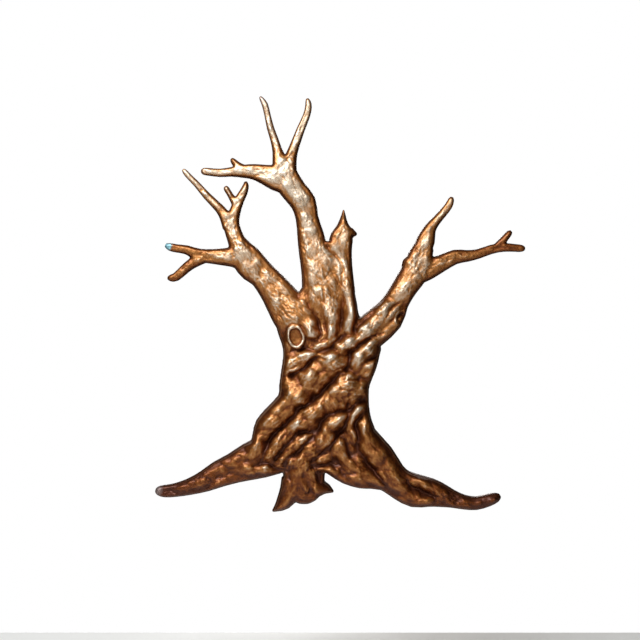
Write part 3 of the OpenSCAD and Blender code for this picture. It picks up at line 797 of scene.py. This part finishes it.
def hex_nut(flat, bore, low, high):
    """Hexagon nut with chamfered corners and a countersunk bore."""
    side = hex_radius(flat)
    drop = (side - flat) * 0.55
    return turned([ring(bore, low + 0.5), ring(bore + 0.5, low), ring(flat * 0.93, low),
                   ring(side * 0.99, low + drop), ring(side, low + drop + 0.15),
                   ring(side, high - drop - 0.15), ring(side * 0.99, high - drop), ring(flat * 0.93, high),
                   ring(bore + 0.5, high), ring(bore, high - 0.5)], True)


def washer(bore, radius, low, high):
    """Flat washer with rolled edges."""
    return turned([ring(bore, low + 0.2), ring(bore + 0.2, low), ring(radius - 0.25, low),
                   ring(radius - 0.06, low + 0.08), ring(radius, low + 0.3), ring(radius, high - 0.3),
                   ring(radius - 0.06, high - 0.08), ring(radius - 0.25, high), ring(bore + 0.2, high),
                   ring(bore, high - 0.2)], True)


def hardware_parts(name, own, axis):
    """Surfaces of one solid, along its own axis."""
    along = (own - own.mean(0)) @ axis
    away = np.linalg.norm(own - own.mean(0) - along[:, None] * axis, axis=1)
    low, high = along.min(), along.max()
    if name == "wall_studs":
        return [threaded_rod(away.max(), low, high, STUD_PITCH)]
    if name == "twig_dowels":
        taper = [ring(away.max() - 0.8, low), ring(away.max(), low + 0.8), ring(away.max(), high - 0.8),
                 ring(away.max() - 0.8, high)]
        return [turned(taper, False)]
    flat = away.max() * math.cos(math.pi / 6)
    if name == "flange_nuts":
        return [hex_nut(flat, SCREW_RADIUS, low, high)]
    if name == "flange_washers":
        return [washer(away.min(), away.max(), low, high)]
    head = along[away > 0.8 * away.max()]
    under, top = head.min(), head.max()
    if abs(top - high) < abs(under - low):
        return [hex_head(flat, under, top), threaded_rod(SCREW_RADIUS, low, under + 0.5, SCREW_PITCH)]
    points, faces = hex_head(flat, -top, -under)
    return [(points * (1, -1, -1), faces), threaded_rod(SCREW_RADIUS, top - 0.5, high, SCREW_PITCH)]


def hardware(name, joints, material):
    """One piece with every solid of a hardware node."""
    points, faces = [], []
    for own in solids_of(name):
        middle = own.mean(0)
        axis, side = np.array([0.0, 1.0, 0.0]), np.array([1.0, 0.0, 0.0])
        if name != "wall_studs":
            nearest = min(joints, key=lambda j: math.hypot(j[0][0] - middle[0], j[0][1] - middle[2]))
            across = nearest[1]
            axis, side = np.array([-across[1], 0.0, across[0]]), np.array([across[0], 0.0, across[1]])
        third = np.cross(axis, side)
        for p, f in hardware_parts(name, own, axis):
            start = sum(len(q) for q in points)
            points.append(middle + p[:, :1] * side + p[:, 1:2] * third + p[:, 2:] * axis)
            faces += [[i + start for i in face] for face in f]
    mesh = bpy.data.meshes.new(name)
    mesh.from_pydata((np.concatenate(points) * MM).tolist(), [], faces)
    mesh.shade_smooth()
    mesh.set_sharp_from_angle(angle=math.radians(32))
    mesh.materials.append(material)
    add_piece(name + "_cut", mesh, name)


def put(name, data):
    """New object in the scene."""
    obj = bpy.data.objects.new(name, data)
    bpy.context.collection.objects.link(obj)
    return obj


def add_piece(title, mesh, node):
    """Puts a mesh in the scene as the looks of a CAD node."""
    piece = put(title, mesh)
    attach(piece, "root")
    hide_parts(node)


# ---- materials ----

class Nodes:
    """Short calls for building a material."""
    def __init__(self, name):
        self.material = bpy.data.materials.new(name)
        self.material.use_nodes = True
        self.tree = self.material.node_tree
        self.shader = self.tree.nodes["Principled BSDF"]

    def add(self, kind, **values):
        node = self.tree.nodes.new("ShaderNode" + kind)
        for key, value in values.items():
            setattr(node, key, value)
        return node

    def link(self, source, target):
        if isinstance(source, (int, float, tuple)):
            target.default_value = source
        else:
            self.tree.links.new(source, target)

    def math(self, operation, a, b=0.0, clamp=False):
        node = self.add("Math", operation=operation, use_clamp=clamp)
        self.link(a, node.inputs[0])
        self.link(b, node.inputs[1])
        return node.outputs[0]

    def ramp(self, value, stops):
        node = self.add("ValToRGB")
        elements = node.color_ramp.elements
        for position, color in stops[1:-1]:
            elements.new(position).color = (*color, 1)
        elements[0].position, elements[0].color = stops[0][0], (*stops[0][1], 1)
        elements[-1].position, elements[-1].color = stops[-1][0], (*stops[-1][1], 1)
        self.link(value, node.inputs[0])
        return node.outputs[0]

    def range(self, value, low, high, out_low=0.0, out_high=1.0):
        node = self.add("MapRange")
        for socket, number in zip(node.inputs, (value, low, high, out_low, out_high)):
            self.link(number, socket)
        return node.outputs[0]

    def noise(self, scale, detail, roughness, stretch=(1, 1, 1)):
        place = self.add("Mapping")
        self.link(self.add("TexCoord").outputs["Object"], place.inputs[0])
        place.inputs["Scale"].default_value = stretch
        node = self.add("TexNoise")
        self.link(place.outputs[0], node.inputs["Vector"])
        for key, value in (("Scale", scale), ("Detail", detail), ("Roughness", roughness)):
            node.inputs[key].default_value = value
        return node.outputs[0]

    def place(self):
        split = self.add("SeparateXYZ")
        self.link(self.add("TexCoord").outputs["Object"], split.inputs[0])
        return split.outputs

    def spot(self, x, z, inner, outer):
        """1 within a distance of a point of the front, 0 beyond another."""
        node = self.add("VectorMath", operation="DISTANCE")
        self.link(self.add("TexCoord").outputs["Object"], node.inputs[0])
        node.inputs[1].default_value = (x, -0.012, z)
        return self.range(node.outputs["Value"], inner, outer, 1.0, 0.0)

    def mix(self, share, a, b):
        node = self.add("Mix", data_type="RGBA")
        self.link(share, node.inputs[0])
        self.link(a, node.inputs[6])
        self.link(b, node.inputs[7])
        return node.outputs[2]

    def bump(self, layers):
        normal = None
        for value, distance in layers:
            node = self.add("Bump")
            node.inputs["Distance"].default_value = distance
            self.link(value, node.inputs["Height"])
            if normal is not None:
                self.link(normal, node.inputs["Normal"])
            normal = node.outputs[0]
        self.link(normal, self.shader.inputs["Normal"])


def bronze():
    """Brown-patinated cast bronze, painted near black in the creases and round the edge (partly patina,
    partly painted shade) and painted paler towards the top (painted light from above).
    """
    n = Nodes("bronze")
    relief_color = n.add("Attribute", attribute_name="relief")
    split = n.add("SeparateColor")
    n.link(relief_color.outputs["Color"], split.inputs[0])
    hollow, crease, edge = split.outputs
    front = relief_color.outputs["Alpha"]
    cloud = n.noise(30, 4, 0.6)
    speck = n.noise(260, 4, 0.62)
    grain = n.noise(900, 3, 0.6)
    # darker in the hollows and creases, paler on the crests: partly a darker patina in the hollows and
    # rubbed crests, partly painted shade and painted highlights
    tone = n.math("MULTIPLY", n.math("SUBTRACT", 0.5, hollow), 0.42)
    tone = n.math("ADD", tone, n.math("MULTIPLY", n.math("SUBTRACT", 0.5, crease), 0.45))
    tone = n.math("ADD", tone, n.math("MULTIPLY", n.math("SUBTRACT", cloud, 0.5), 0.42))
    tone = n.math("ADD", tone, n.math("MULTIPLY", n.math("SUBTRACT", speck, 0.5), 0.15))
    x, _, z = n.place()
    # paler towards the top and darker towards the roots: painted light falling from above
    tone = n.math("ADD", tone, n.range(z, -0.24, 0.42, 0.13, 0.74))
    # the ends of the low outer twigs are hardly rubbed
    outer = n.range(n.math("ABSOLUTE", x), 0.20, 0.34)
    far = n.math("MULTIPLY", outer, n.range(z, 0.34, 0.42, 1.0, 0.0))
    tone = n.math("SUBTRACT", tone, n.math("MULTIPLY", far, 0.30))
    # darker towards the outline and on steep slopes: painted shade where the surface turns away from the
    # light, with a darker patina at the rim
    tone = n.math("MULTIPLY", tone, n.range(edge, 0.0, 0.9, 0.10, 1.0), clamp=True)
    front_color = n.ramp(tone, [(0.0, (0.075, 0.0140, 0.0010)), (0.25, (0.200, 0.050, 0.003)),
                                (0.5, (0.415, 0.172, 0.042)), (0.75, (0.65, 0.515, 0.38)),
                                (1.0, (0.80, 0.70, 0.60))])
    back_color = n.ramp(cloud, [(0.3, (0.13, 0.062, 0.028)), (0.7, (0.26, 0.135, 0.065))])
    color = n.mix(front, back_color, front_color)
    # a worn grey bloom on two tips, and verdigris on a third
    for tip in GREY_TIPS:
        color = n.mix(n.math("MULTIPLY", n.spot(*tip, 0.008, 0.018), 0.6), color, (0.42, 0.33, 0.31, 1))
    green = n.math("MULTIPLY", n.spot(*GREEN_TIP, 0.009, 0.014), n.range(speck, 0.35, 0.5))
    n.link(n.mix(green, color, (0.26, 0.52, 0.60, 1)), n.shader.inputs["Base Color"])
    rough = n.math("ADD", n.range(tone, 0.0, 1.0, 0.52, 0.46), n.math("MULTIPLY", speck, 0.10))
    n.link(n.math("ADD", rough, n.range(front, 0.0, 1.0, 0.15, 0.0)), n.shader.inputs["Roughness"])
    n.link(n.range(front, 0.0, 1.0, 0.15, 0.85), n.shader.inputs["Metallic"])
    n.shader.inputs["Coat Weight"].default_value = 0.18
    n.shader.inputs["Coat IOR"].default_value = 1.8
    n.shader.inputs["Coat Roughness"].default_value = 0.40
    n.bump([(grain, 0.00010), (speck, 0.0004)])
    return n.material


def steel():
    """Zinc-plated steel: grey, faintly clouded, with fine turning marks."""
    n = Nodes("steel")
    cloud = n.noise(160, 3, 0.6)
    fine = n.noise(1200, 3, 0.6, stretch=(1, 0.15, 1))
    n.link(n.ramp(cloud, [(0.3, (0.42, 0.42, 0.41)), (0.7, (0.60, 0.60, 0.58))]),
           n.shader.inputs["Base Color"])
    n.link(n.math("ADD", n.range(cloud, 0.3, 0.7, 0.26, 0.36), n.math("MULTIPLY", fine, 0.08)),
           n.shader.inputs["Roughness"])
    n.shader.inputs["Metallic"].default_value = 1.0
    n.bump([(fine, 0.00005)])
    return n.material


def plain_floor():
    """Pale paper-like floor, faintly clouded."""
    n = Nodes("floor")
    cloud = n.noise(3, 3, 0.5)
    color = n.ramp(cloud, [(0.3, (0.78, 0.77, 0.75)), (0.7, (0.82, 0.81, 0.79))])
    n.link(color, n.shader.inputs["Base Color"])
    n.link(n.range(cloud, 0.3, 0.7, 0.6, 0.7), n.shader.inputs["Roughness"])
    n.bump([(n.noise(400, 2, 0.5), 0.0002)])
    return n.material


# ---- stage ----

def area_light(name, place, aim, size, power, color):
    """Rectangular softbox that the camera doesn't see."""
    light = bpy.data.lights.new(name, "AREA")
    light.shape = "RECTANGLE"
    light.size, light.size_y = size
    light.energy = power
    light.color = color
    obj = put(name, light)
    obj.location = place
    obj.visible_camera = False
    away = np.array(place, float) - np.array(aim, float)
    yaw = math.atan2(away[0], -away[1])
    pitch = math.atan2(math.hypot(away[0], away[1]), away[2])
    obj.rotation_euler = (pitch, 0, yaw)


def world():
    """White behind the tree; to the bronze, a room that is bright in front and dark behind."""
    w = bpy.data.worlds.new("studio")
    bpy.context.scene.world = w
    w.use_nodes = True
    w.node_tree.nodes.clear()
    new = w.node_tree.nodes.new
    link = w.node_tree.links.new
    out = new("ShaderNodeOutputWorld")
    direction = new("ShaderNodeTexCoord")
    split = new("ShaderNodeSeparateXYZ")
    link(direction.outputs["Generated"], split.inputs[0])
    shade = new("ShaderNodeMapRange")
    link(split.outputs["Y"], shade.inputs[0])
    for socket, number in zip(shade.inputs[1:5], (-0.9, 0.5, WORLD[0], WORLD[1])):
        socket.default_value = number
    room = new("ShaderNodeBackground")
    room.inputs[0].default_value = (1.0, 0.84, 0.66, 1)
    link(shade.outputs[0], room.inputs[1])
    paper = new("ShaderNodeBackground")
    paper.inputs[0].default_value = (1, 1, 1, 1)
    paper.inputs[1].default_value = 1.0
    ray = new("ShaderNodeLightPath")
    mix = new("ShaderNodeMixShader")
    link(ray.outputs["Is Camera Ray"], mix.inputs[0])
    link(room.outputs[0], mix.inputs[1])
    link(paper.outputs[0], mix.inputs[2])
    link(mix.outputs[0], out.inputs[0])


def floor():
    """Plain floor below the tree."""
    bm = bmesh.new()
    half, front, back, corner = 2.5, -3.0, 0.35, 0.06
    ring = []
    for x, y, start in ((half, back, 0), (-half, back, 90), (-half, front, 180), (half, front, 270)):
        for k in range(7):
            a = math.radians(start + 15 * k)
            cx, cy = x - math.copysign(corner, x), y - (corner if start < 180 else -corner)
            ring.append(bm.verts.new((cx + corner * math.cos(a), cy + corner * math.sin(a), FLOOR)))
    top = bm.faces.new(ring)
    sides = bmesh.ops.extrude_face_region(bm, geom=[top])
    lower = [v for v in sides["geom"] if isinstance(v, bmesh.types.BMVert)]
    bmesh.ops.translate(bm, vec=(0, 0, -0.02), verts=lower)
    bmesh.ops.recalc_face_normals(bm, faces=bm.faces)
    mesh = bpy.data.meshes.new("floor")
    bm.to_mesh(mesh)
    bm.free()
    mesh.materials.append(plain_floor())
    put("floor", mesh)


def camera():
    """Long lens, level and square to the front of the tree."""
    data = bpy.data.cameras.new("camera")
    data.lens = CAMERA_LENS
    data.sensor_width = CAMERA_SENSOR
    obj = put("camera", data)
    obj.location = CAMERA_PLACE
    obj.rotation_euler = (math.pi / 2, 0, 0)
    bpy.context.scene.camera = obj
    bpy.context.scene.view_settings.view_transform = "Standard"


# ---- the tree ----

def build():
    """Every casting as its part of one modelled surface, and every hardware node."""
    meshes = {name: node_mesh(name) for name in CASTINGS}
    raster = Raster(np.concatenate([p for p, _ in meshes.values()]))
    cad = cad_height(raster, meshes.values())
    mask = cad > 0
    inside = distance_inside(mask, 45)
    height = relief(raster, cad, inside, mask)
    joints = find_joints(meshes)
    points, quads = cast_surface(raster, meshes, cad, inside, height)
    maps = relief_maps(height, inside)
    material = bronze()
    for name, mesh in castings(points, quads, joints, meshes).items():
        add_relief_colors(mesh, raster, maps)
        mesh.materials.append(material)
        add_piece(name + "_cast", mesh, name)
    metal = steel()
    for name in HARDWARE:
        hardware(name, joints, metal)


def lights():
    """Large key from the upper left, warm fill from the front and a light behind for the back."""
    area_light("key", (-1.00, -1.4, 1.90), (0, 0, 0.15), (1.6, 1.1), 96, (0.93, 0.97, 1.0))
    area_light("fill", (0.5, -3.2, 1.0), (0, 0, 0.1), (0.9, 0.9), 10, (1.0, 0.86, 0.70))
    area_light("back", (0.0, 2.2, 0.45), (0, 0, 0.1), (0.8, 0.8), 24, (1.0, 0.98, 0.95))


build()
world()
floor()
camera()
lights()
